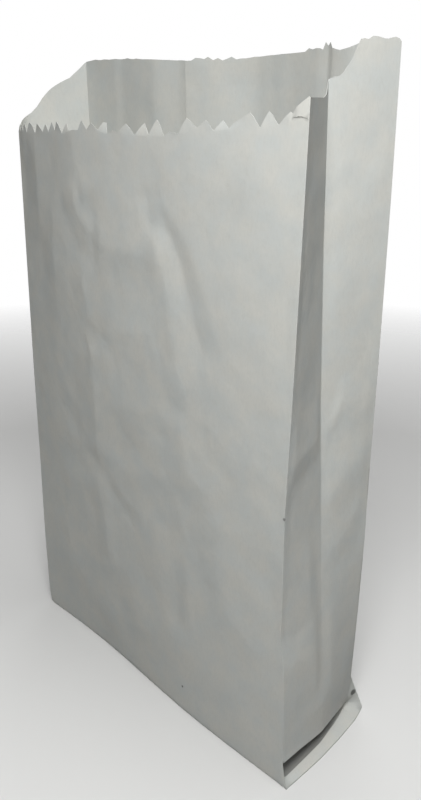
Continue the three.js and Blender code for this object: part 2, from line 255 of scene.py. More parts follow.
BACK_CREASES = [
    # down from the cut edge
    dict(path=[(43, 330), (41.5, 352), (41, 372)], rise=0.8, widths=(12, 9), sharp=1.05, ends=0.03),
    dict(path=[(104, 280), (99, 330), (98, 372)], rise=0.7, widths=(20, 26)),
    # long soft creases
    dict(path=[(128, 205), (140, 236), (150, 270), (168, 300)], rise=-1.4, widths=(18, 20)),
    dict(path=[(101, 170), (96, 205), (82, 240), (60, 262)], rise=1.5, widths=(24, 22)),
    dict(path=[(30, 190), (62, 182), (98, 186), (130, 180)], rise=1.0, widths=(20, 22)),
    dict(path=[(152, 76), (148, 110), (156, 146), (150, 180)], rise=1.3, widths=(28, 26)),
    dict(path=[(66, 70), (58, 110), (62, 150)], rise=-1.0, widths=(22, 24)),
    dict(path=[(96, 118), (128, 110), (166, 116), (196, 108)], rise=0.8, widths=(18, 20)),
]
GUSSET_LEFT_CREASES = [
    dict(path=[(33, 30), (33, 150), (33, 250), (33, 346)], rise=0.6, widths=(9, 9), ends=0.1),
    dict(path=[(33, 276), (18, 300), (4, 330)], rise=0.5, widths=(12, 12)),
    dict(path=[(34, 210), (50, 226), (62, 250)], rise=-0.5, widths=(14, 12)),
    dict(path=[(4, 140), (18, 150), (33, 166)], rise=-0.5, widths=(12, 14)),
    dict(path=[(34, 84), (48, 94), (62, 110)], rise=0.4, widths=(12, 12)),
]
CREASES = {
    FRONT: FRONT_CREASES,
    GUSSET_FRONT: GUSSET_FRONT_CREASES,
    GUSSET_REAR: GUSSET_REAR_CREASES,
    BACK: BACK_CREASES,
    GUSSET_LEFT: GUSSET_LEFT_CREASES,
}

# The mouth lets the back panel stand in slow waves: (place, how far out), full at the cut edge and
# gone further down.
BACK_WAVE = [(0, 0), (13, 0.9), (28, 1.0), (39, 2.0), (43, 3.6), (57, 6.4), (70, 8.5), (83, 9.6),
             (93, 9.5), (139, -1.3), (143, -1.2), (163, -3.6), (175, -2.9), (195, -1.1),
             (198.4, -1.4), (210, -0.6), (222, 0)]
BACK_WAVE_HEIGHTS = (130, 300)
WAVE_ROUNDING = 0.25  # 0 is a broken line from one place to the next, 1 a smooth wave

# Crumple: small facets all over the sheet, as (size of a facet, how far it stands out).
CRUMPLE = [(34, 0.45), (13, 0.17), (6, 0.05)]

# The glued seam runs up the back. Its outer edge shows outside and its inner edge shows inside.
SEAM_OUTER_EDGE = 124.0
SEAM_INNER_EDGE = 138.9
SEAM_STEP = 0.1  # a seam edge's own width
SEAM_WIDTH = 20.0  # the ply keeps its full thickness for this far, and then it eases back
SEAM_FADE = 60.0

# ---------- small helpers


def along(line, position):
    """Reads a broken line, given as (position, value, ...), at an array of positions."""
    table = np.array(line, float)
    values = [np.interp(position, table[:, 0], table[:, k]) for k in range(1, table.shape[1])]
    return np.stack(values, -1)


def smooth(low, high, value):
    """0 below low, 1 above high, and an easy curve between them."""
    share = np.clip((np.asarray(value, float) - low) / (high - low), 0, 1)
    return share * share * (3 - 2 * share)


def unit(vectors):
    return vectors / np.maximum(np.linalg.norm(vectors, axis=-1, keepdims=True), 1e-9)


def right_of(tangents):
    """Level unit vectors at right angles to level tangents, on their right."""
    return unit(np.column_stack([tangents[:, 1], -tangents[:, 0]]))


def curve(corners, share):
    """A smooth curve through each row of corners, read at one share of its length per row."""
    samples = 96
    spans = corners.shape[1] - 1
    places = spans * np.linspace(0, 1, samples + 1)
    span = np.minimum(places.astype(int), spans - 1)
    t = (places - span)[:, None]
    before, start = corners[:, np.maximum(span - 1, 0)], corners[:, span]
    end, after = corners[:, span + 1], corners[:, np.minimum(span + 2, spans)]
    leave, arrive = (end - before) / 2, (after - start) / 2
    points = (
        (2 * start - 2 * end + leave + arrive) * t**3
        + (3 * end - 3 * start - 2 * leave - arrive) * t**2
        + leave * t
        + start
    )
    steps = np.linalg.norm(np.diff(points, axis=1), axis=2)
    length = np.concatenate([np.zeros((len(steps), 1)), np.cumsum(steps, 1)], 1)
    wanted = share * length[:, -1]
    index = np.clip((length <= wanted[:, None]).sum(1) - 1, 0, samples - 1)
    rows = np.arange(len(corners))
    rest = ((wanted - length[rows, index]) / np.maximum(steps[rows, index], 1e-9))[:, None]
    return points[rows, index] * (1 - rest) + points[rows, index + 1] * rest


def section(panel, share, height):
    """(x, y) on a panel at each share of its width and each height."""
    share, height = np.broadcast_arrays(np.asarray(share, float), np.asarray(height, float))
    corners = np.stack([along(fold, height.ravel()) for fold in PANELS[panel][0]], 1)
    return curve(corners, share.ravel()).reshape(share.shape + (2,))


def flange_edge(flange, share):
    corners = np.repeat(np.array(flange, float)[None], len(share), 0)
    return curve(corners, np.asarray(share, float))


# ---------- columns


def front_knots():
    """The front's notches and tips in order of place, as (place, height, is a tip)."""
    knots = [(*notch, False) for notch in FRONT_NOTCHES] + [(*tip, True) for tip in FRONT_TIPS]
    return sorted(knots)


def front_edge(places):
    """Height of the front's cut edge: sharp notches, rounded tips and the torn corner."""
    knots = front_knots()
    height = along(FRONT_NOTCHES + FRONT_CORNER, places)[..., 0]
    for (start, low, start_tip), (end, high, end_tip) in zip(knots, knots[1:]):
        inside = (places >= start) & (places <= end)
        share = (places[inside] - start) / (end - start)
        if start_tip != end_tip:
            rounded = np.sin(share * math.pi / 2) if end_tip else 1 - np.cos(share * math.pi / 2)
            share = share * (1 - TOOTH_ROUNDING) + rounded * TOOTH_ROUNDING
        height[inside] = low + (high - low) * share
    corner = places > knots[-1][0]
    height[corner] = along([knots[-1][:2], *FRONT_CORNER], places[corner])[..., 0]
    return height


def back_edge(places):
    """Height of the back's cut edge: worn scallops, a few bumps and the teeth left at the right."""
    height = along(BACK_CUT, places)[..., 0]
    notches = np.abs(np.sin(np.pi * places / BACK_TEETH_PITCH))
    wear = SCALLOP_HEIGHT * (1 + np.sin(places / SCALLOP_DRIFT + 1.0))
    height += wear * (1 - notches) * smooth(*BACK_SCALLOPS_FROM, places)
    for place, rise in BACK_BUMPS:
        height += rise * np.exp(-(((places - place) / BACK_BUMP_WIDTH) ** 2))
    return height


def side_edge(panel, places):
    cuts = {
        GUSSET_FRONT: GUSSET_FRONT_CUT,
        GUSSET_REAR: GUSSET_REAR_CUT,
        EAR_RIGHT: EAR_RIGHT_CUT,
        EAR_LEFT: EAR_LEFT_CUT,
        GUSSET_LEFT: GUSSET_LEFT_CUT,
    }
    height = along(cuts[panel], places)[..., 0]
    if panel == GUSSET_LEFT:
        nick, half_width, depth = LEFT_NICK
        height -= depth * np.clip(1 - np.abs(places - nick) / half_width, 0, 1)
    return height


NARROW_PANEL = 10.0  # the ears behind the gussets are narrower than this, the other panels wider
FOLD_COLUMN = 0.35  # the column nearest to a fold is this far from it
EDGE_BAND = 1.5  # away from the front's teeth, the finer rows at the rim start this far below it
LEAST_TOOTH = 0.5  # and everywhere at least this far


def spread(width, step, near_folds=(FOLD_COLUMN, 1.0)):
    """Places from 0 up to width, evenly spread, with closer ones beside the fold at each end."""
    inner = near_folds[-1]
    count = max(1, round((width - 2 * inner) / step))
    middle = np.linspace(inner, width - inner, count + 1)
    ends = [0.0, *near_folds[:-1]]
    return np.unique(np.concatenate([ends, middle, [width - e for e in near_folds[:-1]]]))


def front_places():
    """Places of the front's columns: on each notch and tip of the teeth, with some between."""
    knots = [0.0, *(place for place, _, _ in front_knots()), *(place for place, _ in FRONT_CORNER)]
    knots += [TEAR[0][0], TEAR_LIFT[1][0], TEAR_MIDDLE]
    knots = sorted(set(knots))
    places = []
    for start, end in zip(knots, knots[1:]):
        parts = max(1, round((end - start) / FRONT_COLUMN_STEP))
        places += [start + (end - start) * k / parts for k in range(parts)]
    return np.array(sorted([*places, FOLD_COLUMN, FRONT_WIDTH - FOLD_COLUMN]))


def columns():
    """One entry for each column round the bag: panel, place, share, cut height and notch height."""
    rows = []
    for panel, (_, width) in enumerate(PANELS):
        if panel == FRONT:
            places = front_places()
            places = places[places < width]
            cut = front_edge(places)
            notch = np.minimum(along(FRONT_NOTCHES, places)[..., 0], cut)
            notch = np.where(places >= TEAR[0][0], along(TEAR, places)[..., 0], notch)
        elif panel == BACK:
            seam = [edge + step for edge in (SEAM_OUTER_EDGE, SEAM_INNER_EDGE) for step in (0, SEAM_STEP)]
            knots = [spread(width, BACK_COLUMN_STEP), seam, BACK_TEETH]
            places = np.unique(np.concatenate(knots))[:-1]
            cut = back_edge(places)
            notch = cut - EDGE_BAND
        else:
            if width > NARROW_PANEL:
                places = spread(width, SIDE_COLUMN_STEP)[:-1]
            else:
                places = spread(width, EAR_COLUMN_STEP, (FOLD_COLUMN, 0.8))[:-1]
            cut = side_edge(panel, places)
            notch = cut - EDGE_BAND
        for place, top, low in zip(places, cut, notch):
            rows.append((panel, place, place / width, max(top, low + LEAST_TOOTH), low))
    return np.array(rows)


COLUMNS = columns()
PANEL_OF = COLUMNS[:, 0].astype(int)
PLACE_OF, SHARE_OF, CUT_OF, NOTCH_OF = COLUMNS[:, 1:].T
COUNT = len(COLUMNS)


def section_at(height):
    """(x, y) of every column at its own height, or at one height for all of them."""
    height = np.broadcast_to(np.asarray(height, float), (COUNT,))
    points = np.empty((COUNT, 2))
    for panel in range(len(PANELS)):
        chosen = PANEL_OF == panel
        points[chosen] = section(panel, SHARE_OF[chosen], height[chosen])
    return points


def with_height(points, height):
    return np.column_stack([points, np.broadcast_to(height, (len(points),))])


# ---------- the foot

FOOT_HEIGHTS = [0.15, 0.55, 1.4, 3, 5, 7.5, 10, 13, 17, 20.5]
LOWEST = 0.15  # the lowest row's height, which leaves room for the paper's own thickness
BASE_MIDDLE = np.array([0.0, 3.0])
BOTTOM_FOLD = [1.1, 0.3]  # the front and back turn under on this small round
FOLD_SLANT = 0.2  # of its pull towards the middle, this share of the sideways part is kept
CORNER_REACH = 10.0  # the front's lower left corner is rounded off over this length
CORNER_ROUND = 4.5  # and by this much on the floor


def distance_from_left_fold():
    """How far round the sheet each column is from the front's left fold."""
    width = PANELS[GUSSET_LEFT][1]
    away = np.full(COUNT, np.inf)
    away[PANEL_OF == FRONT] = PLACE_OF[PANEL_OF == FRONT]
    away[PANEL_OF == GUSSET_LEFT] = width - PLACE_OF[PANEL_OF == GUSSET_LEFT]
    return away


def sides():
    """For each side: its columns from front to back, its flange, which way is inwards, how far back
    each column is as a share of the side, how far it is into the ear as a share of the ear, and
    the back's column beside it.
    """
    right = np.flatnonzero((PANEL_OF >= GUSSET_FRONT) & (PANEL_OF <= EAR_RIGHT))
    left = np.flatnonzero(PANEL_OF >= EAR_LEFT)[::-1]
    back = np.flatnonzero(PANEL_OF == BACK)
    ear_right, ear_left, gusset_left = (PANELS[p][1] for p in (EAR_RIGHT, EAR_LEFT, GUSSET_LEFT))
    before = {GUSSET_FRONT: 0.0, GUSSET_REAR: PANELS[GUSSET_FRONT][1]}
    before[EAR_RIGHT] = before[GUSSET_REAR] + PANELS[GUSSET_REAR][1]
    along_right = PLACE_OF[right] + np.array([before[p] for p in PANEL_OF[right]])
    along_left = np.where(PANEL_OF[left] == GUSSET_LEFT, gusset_left - PLACE_OF[left],
                          gusset_left + ear_left - PLACE_OF[left])
    length_right, length_left = before[EAR_RIGHT] + ear_right, gusset_left + ear_left
    return [
        (right, RIGHT_FLANGE, -1, along_right / length_right,
         np.clip((along_right - before[EAR_RIGHT]) / ear_right, 0, 1), back[0]),
        (left, LEFT_FLANGE, 1, along_left / length_left,
         np.clip((along_left - gusset_left) / ear_left, 0, 1), back[-1]),
    ]


def tuck_opening(share):
    """How far the tuck is open, from 0 to 1, at each share of the side."""
    return smooth(0, TUCK_FULL_FROM, share) * smooth(TUCK_CLOSED_FROM, TUCK_FULL_TO, share)


def foot_rows():
    """The lowest rows of the sheet, from the floor to just under the top of the glued flap."""
    rows = [with_height(section_at(height), height) for height in FOOT_HEIGHTS]
    plain = (PANEL_OF == FRONT) | (PANEL_OF == BACK)
    for row, pull in zip(rows, BOTTOM_FOLD):
        inward = unit(BASE_MIDDLE - row[plain, :2])
        inward[:, 0] *= FOLD_SLANT
        row[plain, :2] += pull * inward
    corner = smooth(CORNER_REACH, 0, distance_from_left_fold())
    for row, height in zip(rows, FOOT_HEIGHTS):
        row[:, 0] += CORNER_ROUND * corner * max(0, 1 - height / CORNER_REACH) ** 2
    for members, flange, inwards, share, into_ear, beside in sides():
        edge = flange_edge(flange, share)
        lip = along(GUSSET_LIP, share)[..., 0]
        opening = tuck_opening(share)
        foot = np.stack([section(PANEL_OF[m], SHARE_OF[m], h) for m, h in zip(members, lip)])
        top = np.stack([section(PANEL_OF[m], SHARE_OF[m], FLAP_HEIGHT) for m in members])
        step = np.stack([inwards + 0 * share, 0 * share], -1)
        rim = foot + TUCK_SLACK * step
        depth = (TUCK_DEPTH * opening)[:, None]
        crest = FLANGE_EDGE + FLANGE_RISE
        floor = crest + (TUCK_CLOSED_HEIGHT - crest) * (1 - opening)
        behind = floor - TUCK_DROP * opening
        roof = floor + (lip - floor) * TUCK_ROOF - PLY_GAP
        tuck_heights = [floor, behind, behind + TUCK_SLACK * opening, roof, lip - LIP_ROUND]
        profile = [
            (edge, LOWEST + 0 * share),
            (edge + FLANGE_ROUND * step, FLANGE_EDGE + 0 * share),
            ((edge + rim) / 2, (FLANGE_EDGE + floor) / 2),
            *((rim + step * (inward + part * depth), height)
              for (inward, part), height in zip(TUCK_PATH, tuck_heights)),
            (foot - LIP_BULGE * step, lip + LIP_RISE),
            (foot + (top - foot) * LIP_BLEND, lip + (FLAP_HEIGHT - lip) * LIP_BLEND),
        ]
        blend = (into_ear * into_ear * (3 - 2 * into_ear))[:, None]
        for number, (row, (points, height)) in enumerate(zip(rows, profile)):
            own = with_height(points, height)
            ear = blend if number > 1 else 0 * blend
            row[members] = own * (1 - ear) + row[beside] * ear
    return rows


# the tuck's painted shade is laid on these rows
TUCK_ROWS = range(4, 8)  # which of the foot's rows lie inside the tuck


def painted_tuck_shade_mask(shape, first_row):
    """Where the tuck's painted shade goes: 1 at the points of the sheet that lie deep inside an open
    tuck, and 0 elsewhere.
    """
    depth = np.zeros(shape)
    for members, _, _, share, _, _ in sides():
        for row in TUCK_ROWS:
            depth[first_row + row, members] = tuck_opening(share)
    return depth


# ---------- creases and crumple


def crease(across, up, path, rise, widths, sharp=1.35, ends=0.25):
    """How far one crease moves each point (across, up) of its panel out from the panel."""
    path = np.array(path, float)
    starts, spans = path[:-1], np.diff(path, axis=0)
    lengths = np.linalg.norm(spans, axis=1)
    travelled = np.concatenate([[0], np.cumsum(lengths)])
    point = np.stack([across, up], -1)[:, None, :]
    offset = point - starts
    share = np.clip((offset * spans).sum(-1) / lengths**2, 0, 1)
    nearest = offset - share[..., None] * spans
    distance = np.linalg.norm(nearest, axis=-1)
    best = distance.argmin(1)
    rows = np.arange(len(across))
    distance = distance[rows, best]
    cross = spans[best, 0] * offset[rows, best, 1] - spans[best, 1] * offset[rows, best, 0]
    progress = (travelled[best] + share[rows, best] * lengths[best]) / travelled[-1]
    left, right = (np.interp(progress, (0, 1), np.broadcast_to(width, 2)) for width in widths)
    width = np.where(cross > 0, left, right)
    taper = smooth(0, ends, progress) * smooth(0, ends, 1 - progress)
    return rise * taper * np.clip(1 - distance / width, 0, 1) ** sharp


def wave(across, up):
    """The slow waves of the back panel, drawn as smooth steps from one crest to the next."""
    knots = np.array(BACK_WAVE, float)
    index = np.clip(np.searchsorted(knots[:, 0], across, side="right") - 1, 0, len(knots) - 2)
    start, end = knots[index], knots[index + 1]
    share = (across - start[:, 0]) / (end[:, 0] - start[:, 0])
    ease = share * (1 - WAVE_ROUNDING) + WAVE_ROUNDING * smooth(0, 1, share)
    return (start[:, 1] + (end[:, 1] - start[:, 1]) * ease) * smooth(*BACK_WAVE_HEIGHTS, up)


def crumple(points):
    """Small random facets: how far each point of the sheet stands out."""
    out = np.zeros(len(points))
    for size, rise in CRUMPLE:
        scaled = points / size
        values = [noise.noise(Vector(p)) for p in scaled]
        out += rise * np.array(values)
    return out


FOLD_CALM = 7.0  # creases fade out within this distance of a fold
FOOT_CALM = (2, 26)  # and between these heights above the floor


def relief(ring):
    """How far each point of a row of the sheet is pushed out of its smooth panel."""
    up = ring[:, 2]
    out = np.zeros(COUNT)
    for panel, creases in CREASES.items():
        chosen = PANEL_OF == panel
        for one in creases:
            out[chosen] += crease(PLACE_OF[chosen], up[chosen], **one)
    back = PANEL_OF == BACK
    out[back] += wave(PLACE_OF[back], up[back])
    out += crumple(ring)
    widths = np.array([width for _, width in PANELS])[PANEL_OF]
    from_fold = np.minimum(PLACE_OF, widths - PLACE_OF)
    soften = np.where(widths > NARROW_PANEL, smooth(0, FOLD_CALM, from_fold), 0.0)
    return out * soften * smooth(*FOOT_CALM, up)


def outward(ring):
    """Level unit vectors that point out of a closed ring of points."""
    return right_of(np.roll(ring, -1, 0) - np.roll(ring, 1, 0))


# ---------- rows of the sheet


RIM_BAND = 2.5  # the wall's even rows end this far below the foot of the teeth
RIM_STEPS = [-1.2, -0.05, 0.12]  # rows at these heights above the foot of the teeth
RIM_SHARES = [0.3, 0.6, 0.82, 1.0]  # and at these shares of what is left up to the points


def wall_rows():
    rows = []
    for share in np.linspace(0, 1, WALL_ROWS + 1):
        height = FLAP_HEIGHT + (NOTCH_OF - RIM_BAND - FLAP_HEIGHT) * share
        rows.append(with_height(section_at(height), height))
    return rows


def rim_rows():
    """Rows from just below the foot of the teeth up to their points."""
    start = NOTCH_OF + RIM_STEPS[-1]
    heights = [NOTCH_OF + step for step in RIM_STEPS]
    heights += [start + (CUT_OF - start) * share for share in RIM_SHARES]
    return [with_height(section_at(height), height) for height in heights]


BASE_SCALES = [0.05, 0.12, 0.2, 0.29, 0.38, 0.47, 0.56, 0.65, 0.73, 0.81, 0.88, 0.94, 0.985]
BASE_PLY = 0.35  # the base is folded of several plies, which step up and down by this
BASE_REACH = 112.0  # the gusset's plies end this far from the bag's middle, along its centre line,
BASE_SLANT = 0.75  # and their edge slants by this much
BASE_STEP = 1.5  # half the width of the slope at that edge
BASE_BORDER = 0.25  # the plies lie flat by this share of the way in from the outline
BASE_DOME = 0.12  # the base's middle stands up by this


def base_rows(outline):
    """Rows of the base, from its middle to the outline on the floor."""
    rows = []
    for scale in BASE_SCALES:
        offset = (outline[:, :2] - BASE_MIDDLE) * scale
        points = BASE_MIDDLE + offset
        # the gusset's plies end in a slanting edge at each side of the base
        past_edge = np.abs(points[:, 0]) + np.abs(offset[:, 1]) * BASE_SLANT - BASE_REACH
        ply = BASE_PLY * smooth(-BASE_STEP, BASE_STEP, past_edge)
        height = LOWEST + ply * smooth(0.0, BASE_BORDER, 1 - scale) + BASE_DOME * (1 - scale)
        rows.append(with_height(points, height))
    return rows


MOST_LEAN = 0.7  # of the teeth that LEANING_TEETH doesn't name
LEAN_CURL = 1.3  # a tooth curls more towards its point
LEAN_SEED = 11


def lean_of_teeth():
    """How far the tip of the tooth at each column leans out of the front."""
    generator = np.random.default_rng(LEAN_SEED)
    tips = np.array([place for place, _ in FRONT_TIPS])
    leans = generator.uniform(-MOST_LEAN, MOST_LEAN, len(tips))
    for place, lean in LEANING_TEETH.items():
        leans[np.abs(tips - place).argmin()] = lean
    nearest = np.abs(PLACE_OF[:, None] - tips[None]).argmin(1)
    return np.where((PANEL_OF == FRONT) & (PLACE_OF < TEAR[0][0]), leans[nearest], 0.0)


def sheet_grid():
    """The middle surface of the sheet: rows from the base's middle to the cut edge."""
    foot = foot_rows()
    wall = wall_rows()
    rim = rim_rows()
    base = base_rows(foot[0])
    rows = np.array([*base, *foot, *wall, *rim])
    first_moved = len(base)
    for number in range(first_moved, len(rows)):
        ring = rows[number]
        push = relief(ring)
        if number < first_moved + len(foot):
            push = np.where((PANEL_OF == FRONT) | (PANEL_OF == BACK), push, 0.0)
        ring[:, :2] += outward(ring) * push[:, None]
    # the teeth lean and the torn corner lifts
    lean = lean_of_teeth()
    torn = (PANEL_OF == FRONT) & (PLACE_OF >= TEAR[0][0])
    lift = along(TEAR_LIFT, PLACE_OF)[..., 0]
    for number in range(len(rows) - len(RIM_SHARES) - 1, len(rows)):
        ring = rows[number]
        above = np.clip((ring[:, 2] - NOTCH_OF) / TOOTH_HEIGHT, 0, 1)
        push = np.where(torn, lift, lean * above**LEAN_CURL)
        ring[:, :2] += outward(ring) * push[:, None]
    return rows


# ---------- meshes


SHARP_ANGLE = math.radians(48)  # edges that turn by more than this are shown sharp


def grid_normals(rows):
    """Unit normals of a grid of points that is closed round its columns."""
    across = np.roll(rows, -1, 1) - np.roll(rows, 1, 1)
    up = np.empty_like(rows)
    up[1:-1] = rows[2:] - rows[:-2]
    up[0], up[-1] = rows[1] - rows[0], rows[-1] - rows[-2]
    return unit(np.cross(across, up))


def seam_step(edge):
    """The ply beyond a seam edge lies one thickness further out, and eases back after it."""
    beyond = (PANEL_OF == BACK) & (PLACE_OF > edge + SEAM_STEP / 2)
    ease = 1 - smooth(edge + SEAM_WIDTH, edge + SEAM_WIDTH + SEAM_FADE, PLACE_OF)
    return np.where(beyond, SEAM_PLY * ease, 0.0)


def make_mesh(name, points, faces, material, painted_tuck_shade=None):
    """A smooth-shaded piece from points in the bag's measures, placed in the shared frame."""
    mesh = bpy.data.meshes.new(name)
    mesh.from_pydata(((points + SHIFT) * MM).tolist(), [], faces)
    mesh.validate()
    mesh.shade_smooth()
    mesh.set_sharp_from_angle(angle=SHARP_ANGLE)
    mesh.materials.append(material)
    # the tuck's painted shade goes in as a point attribute
    if painted_tuck_shade is not None:
        mesh.attributes.new("painted_tuck_shade", "FLOAT", "POINT").data.foreach_set("value", painted_tuck_shade)
    piece = bpy.data.objects.new(name, mesh)
    bpy.context.scene.collection.objects.link(piece)
    return piece


def sheet_faces(rows, count, closed):
    """Quads of the outside of a sheet, and of its inside, whose points come after the outside's.

    closed joins the last column to the first.
    """
    outside = []
    for row in range(rows - 1):
        for column in range(count if closed else count - 1):
            beside = (column + 1) % count
            low, high = row * count, (row + 1) * count
            outside.append((low + column, low + beside, high + beside, high + column))
    total = rows * count
    return outside + [tuple(total + corner for corner in reversed(face)) for face in outside]


def edge_faces(loop, total):
    """Quads that join a loop of the outside's points to the inside's, which are total further on."""
    return [(start, end, total + end, total + start) for start, end in zip(loop, loop[1:] + loop[:1])]


def bag_sheet(material):
    rows = sheet_grid()
    normals = grid_normals(rows)
    wall_from = len(BASE_SCALES) + len(FOOT_HEIGHTS)
    outer_step, inner_step = np.zeros((2, *rows.shape[:2], 1))
    outer_step[wall_from:] = seam_step(SEAM_OUTER_EDGE)[:, None]
    inner_step[wall_from:] = seam_step(SEAM_INNER_EDGE)[:, None]
    outer = rows + normals * (PAPER / 2 + outer_step)
    inner = rows - normals * (PAPER / 2 - inner_step)
    outer[..., 2] = np.maximum(outer[..., 2], 0.0)
    total = rows.shape[0] * COUNT
    middles = [outer[0].mean(0), inner[0].mean(0)]
    points = np.concatenate([outer.reshape(-1, 3), inner.reshape(-1, 3), middles])
    faces = sheet_faces(rows.shape[0], COUNT, True)
    faces += edge_faces(list(range(total - COUNT, total)), total)
    low, high = 2 * total, 2 * total + 1
    for column in range(COUNT):
        beside = (column + 1) % COUNT
        faces += [(low, beside, column), (high, total + column, total + beside)]
    # painted shade: how deep inside the tuck each point lies, for darkening the paper's colour there
    depth = painted_tuck_shade_mask(rows.shape[:2], len(BASE_SCALES)).ravel()
    painted_tuck_shade = np.concatenate([depth, depth, [0, 0]])
    return make_mesh("bag_sheet", points, faces, material, painted_tuck_shade)


FLAP_GAP = 0.05  # of glue between it and the back
FLAP_INSET = 0.012  # share of the back's width left free at each end of the flap
FLAP_START = 0.7  # its lowest row's height
FLAP_NOTCH = 2.5  # the notches lie this far below the flap's own height
FLAP_LIFT = 0.15  # its teeth stand off the back by this
FLAP_FREE_FROM = 0.7  # above this share of its height
FLAP_COLUMNS = 150
FLAP_ROWS = 9
FLAP_TOOTH = 4.5  # the height of its teeth


def bottom_flap(material):
    """The cut end of the tube, folded up over the back and glued there; its edge is toothed too."""
    share = np.linspace(FLAP_INSET, 1 - FLAP_INSET, FLAP_COLUMNS)
    place = share * PANELS[BACK][1]
    teeth = np.abs(2 * ((place / BACK_TEETH_PITCH) % 1) - 1)
    top = FLAP_HEIGHT - FLAP_NOTCH + FLAP_TOOTH * teeth
    outer, inner = [], []
    for part in np.linspace(0, 1, FLAP_ROWS):
        height = FLAP_START + (top - FLAP_START) * part
        points = section(BACK, share, height)
        normal = right_of(np.gradient(points, axis=0))
        stand = PAPER / 2 + FLAP_GAP + FLAP_LIFT * smooth(FLAP_FREE_FROM, 1.0, part) * teeth
        inner.append(with_height(points + normal * stand[:, None], height))
        outer.append(with_height(points + normal * (stand + PAPER)[:, None], height))
    grid = np.arange(FLAP_ROWS * FLAP_COLUMNS).reshape(FLAP_ROWS, FLAP_COLUMNS)
    border = np.concatenate([grid[:, 0], grid[-1, 1:], grid[-2::-1, -1], grid[0, -2:0:-1]])
    faces = sheet_faces(FLAP_ROWS, FLAP_COLUMNS, False) + edge_faces(border.tolist(), grid.size)
    return make_mesh("bottom_flap", np.concatenate([*outer, *inner]), faces, material)


# ---------- the shared frame

flange_reach = flange_edge(RIGHT_FLANGE, np.linspace(0, 1, 60))[:, 0].max()
back_reach = section(BACK, np.linspace(0, 1, 120), 0.0)[:, 1].max()
SHIFT = np.array([cad_high.x / MM - flange_reach, cad_high.y / MM - back_reach, 0.0])


def in_frame(point):
    """A point of the bag's own measures, in metres in the shared frame."""
    return Vector(((np.array(point, float) + SHIFT) * MM).tolist())


# ---------- paper

PAPER_WARM = (0.575, 0.575, 0.535, 1)
PAPER_COOL = (0.535, 0.555, 0.535, 1)
FIBRE_DARK = (0.50, 0.505, 0.475, 1)

# Painted shade: the paper deep inside the tuck is darkened in its colour, to stand in for the shade in
# that crevice.
PAINTED_TUCK_SHADE_COLOUR = (0.12, 0.12, 0.115, 1)
PAINTED_TUCK_SHADE_AMOUNT = 0.6

# Noise textures, as (scale, detail, roughness). A spread maps low and high noise to the values that
# follow them, or to 0 and 1.
CLOUDS = (70, 3, 0.55)  # the cloudy formation of the sheet
CLOUD_SPREAD = (0.35, 0.65)
FIBRES = (900, 4, 0.7)
FIBRE_SPREAD = (0.46, 0.74, 0.0, 0.5)
FIBRE_STRETCH = (1.0, 1.0, 0.35)  # the fibres lie along the machine direction, up the bag
GRAIN = (700, 5, 0.65)  # how the roughness varies
GRAIN_SPREAD = (0.3, 0.7, 0.78, 0.9)
TOOTH = (1100, 4, 0.6)  # the fine relief of the surface
TOOTH_BUMP = dict(Strength=0.25, Distance=0.00006)
COCKLE = (170, 3, 0.5)  # its slow unevenness
COCKLE_BUMP = dict(Strength=0.35, Distance=0.0004)
GLOSS = 0.3

# Small marks on the paper: place, radius and how dark each one is.
MARK_COLOUR = (0.06, 0.06, 0.055, 1)
MARK_CORE = 0.6  # a mark is even up to this share of its radius, and then it fades
MARKS = [
    ((38.0, -35.7, 17.2), 0.95, 0.85),
    ((110.0, 37.2, 12.6), 2.4, 0.8),
    ((109.7, -34.6, 156.4), 1.0, 0.6),
]


def node(tree, kind, **inputs):
    made = tree.nodes.new(kind)
    for name, value in inputs.items():
        made.inputs[name.replace("_", " ")].default_value = value
    return made


def noise_texture(tree, coordinates, scale, detail, roughness):
    made = node(tree, "ShaderNodeTexNoise", Scale=scale, Detail=detail, Roughness=roughness)
    tree.links.new(coordinates, made.inputs["Vector"])
    return made.outputs["Fac"]


def mixed(tree, factor, first, second, blend="MIX"):
    made = tree.nodes.new("ShaderNodeMix")
    made.data_type = "RGBA"
    made.blend_type = blend
    for socket, value in ((made.inputs["Factor"], factor), (made.inputs["A"], first),
                          (made.inputs["B"], second)):
        if isinstance(value, bpy.types.NodeSocket):
            tree.links.new(value, socket)
        else:
            socket.default_value = value
    return made.outputs["Result"]


def ramp(tree, value, low, high, to_low=0.0, to_high=1.0):
    made = node(tree, "ShaderNodeMapRange")
    made.clamp = True
    for name, number in (("From Min", low), ("From Max", high), ("To Min", to_low), ("To Max", to_high)):
        made.inputs[name].default_value = number
    tree.links.new(value, made.inputs["Value"])
    return made.outputs["Result"]


